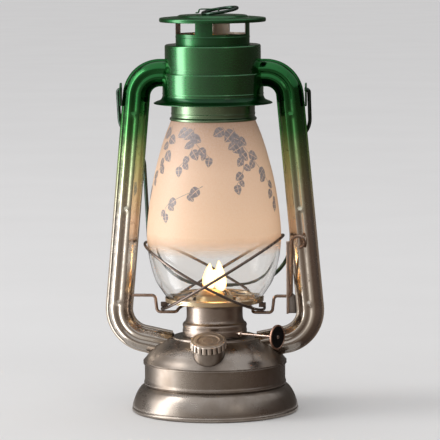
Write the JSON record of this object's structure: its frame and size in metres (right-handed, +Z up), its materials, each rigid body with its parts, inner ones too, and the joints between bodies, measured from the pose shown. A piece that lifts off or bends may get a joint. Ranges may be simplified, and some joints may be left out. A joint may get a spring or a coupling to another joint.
{
  "type": "hurricane lamp",
  "caption": "Tubular hurricane lamp with round fuel tank, frosted glass globe, crossed wire guard, side air tubes, vented hood, lift ring, thumb lever and wire bail.",
  "frame": {"origin": "centre of the lamp's axis at the plane that the foot stands on", "axes": "+Z up along the lamp's axis; +X towards the tube with the thumb lever; -Y is the front, with the filler cap"},
  "size_m": [0.1712, 0.1304, 0.3172],
  "materials": {
    "tin": "satin tinplate",
    "cap_metal": "satin, turned rings on top",
    "gasket": "matt",
    "brass": "satin",
    "wick": "flat woven cotton",
    "steel_wire": "dark drawn wire",
    "knob_metal": "dark aged metal with a bright rim",
    "globe_glass": "clear below, frosted above, with a leaf print",
    "tube_metal": "bright plated below, fading into green lacquer above",
    "green_lacquer": "transparent green lacquer over bright metal",
    "dark_wire": "dark green lacquered wire"
  },
  "bodies": {
    "lamp": {"foot_skirt": "tin", "tank_wall": "tin", "tank_floor": "tin", "tank_dome": "tin", "filler_neck": "tin", "burner_collar": "tin", "burner_base": "tin", "burner_body": "tin", "burner_gallery": "brass", "burner_cone": "brass", "wick_tube": "brass", "tube_left_front": "tube_metal", "tube_left_rear": "tube_metal", "tube_right_front": "tube_metal", "tube_right_rear": "tube_metal", "lever_bracket": "tube_metal", "ear_left": "green_lacquer", "ear_right": "green_lacquer", "canopy_drum": "green_lacquer", "canopy_skirt": "green_lacquer", "canopy_floor": "green_lacquer", "chimney_spring": "steel_wire"},
    "filler_seal": {"filler_gasket": "gasket"},
    "filler_lid": {"filler_cap": "cap_metal"},
    "wick_strip": {"wick": "wick"},
    "wick_drive": {"wick_shaft": "steel_wire", "wick_wheel_a": "brass", "wick_wheel_b": "brass", "wick_knob": "knob_metal"},
    "globe_carrier": {"globe_plate": "tin", "globe": "globe_glass", "guard_wire_a": "steel_wire", "guard_wire_b": "steel_wire", "guard_clip_left": "steel_wire", "guard_clip_right": "steel_wire"},
    "crank": {"lift_crank": "steel_wire"},
    "hood": {"chimney_collar": "green_lacquer", "hood_drum": "green_lacquer", "vent_band": "green_lacquer", "hood_cap": "green_lacquer", "ring_strap": "green_lacquer"},
    "ring": {"lift_ring": "dark_wire"},
    "handle": {"bail": "dark_wire"}
  },
  "joints": [
    {"name": "bail_swing", "type": "hinge", "parent": "lamp", "child": "handle", "pos_m": [0, 0, 0.251], "axis": [1, 0, 0], "range_deg": [0, 320]},
    {"name": "globe_lift", "type": "slide", "parent": "lamp", "child": "globe_carrier", "axis": [0, 0, 1], "range_m": [0, 0.0135]},
    {"name": "lever_press", "type": "hinge", "parent": "lamp", "child": "crank", "pos_m": [0, 0, 0.0896], "axis": [1, 0, 0], "range_deg": [0, 25]},
    {"name": "hood_lift", "type": "slide", "parent": "globe_carrier", "child": "hood", "axis": [0, 0, 1], "range_m": [0, 0.01], "stiffness_N_per_m": 200, "springref_m": -0.02, "deforming": ["chimney_spring"]},
    {"name": "ring_flip", "type": "hinge", "parent": "hood", "child": "ring", "pos_m": [-0.0075, 0, 0.3102], "axis": [0, -1, 0], "range_deg": [0, 154]},
    {"name": "knob_turn", "type": "hinge", "parent": "lamp", "child": "wick_drive", "pos_m": [-0.0025, -0.00433, 0.0625], "axis": [0.866, -0.5, 0], "range_deg": [-90, 90]},
    {"name": "wick_raise", "type": "slide", "parent": "lamp", "child": "wick_strip", "axis": [0, 0, 1], "range_m": [-0.0054, 0.0054]},
    {"name": "cap_turn", "type": "hinge", "parent": "filler_seal", "child": "filler_lid", "pos_m": [0, -0.044, 0.05], "axis": [0, -0.342, 0.9397], "range_deg": [0, 1440]},
    {"name": "cap_lift", "type": "slide", "parent": "lamp", "child": "filler_seal", "axis": [0, -0.342, 0.9397], "range_m": [0, 0.016]}
  ],
  "couplings": [
    {"joint": "lever_press", "follows": "globe_lift", "rad_per_m": 32.3},
    {"joint": "wick_raise", "follows": "knob_turn", "m_per_rad": 0.0034},
    {"joint": "cap_lift", "follows": "cap_turn", "m_per_rad": 0.00063662}
  ]
}
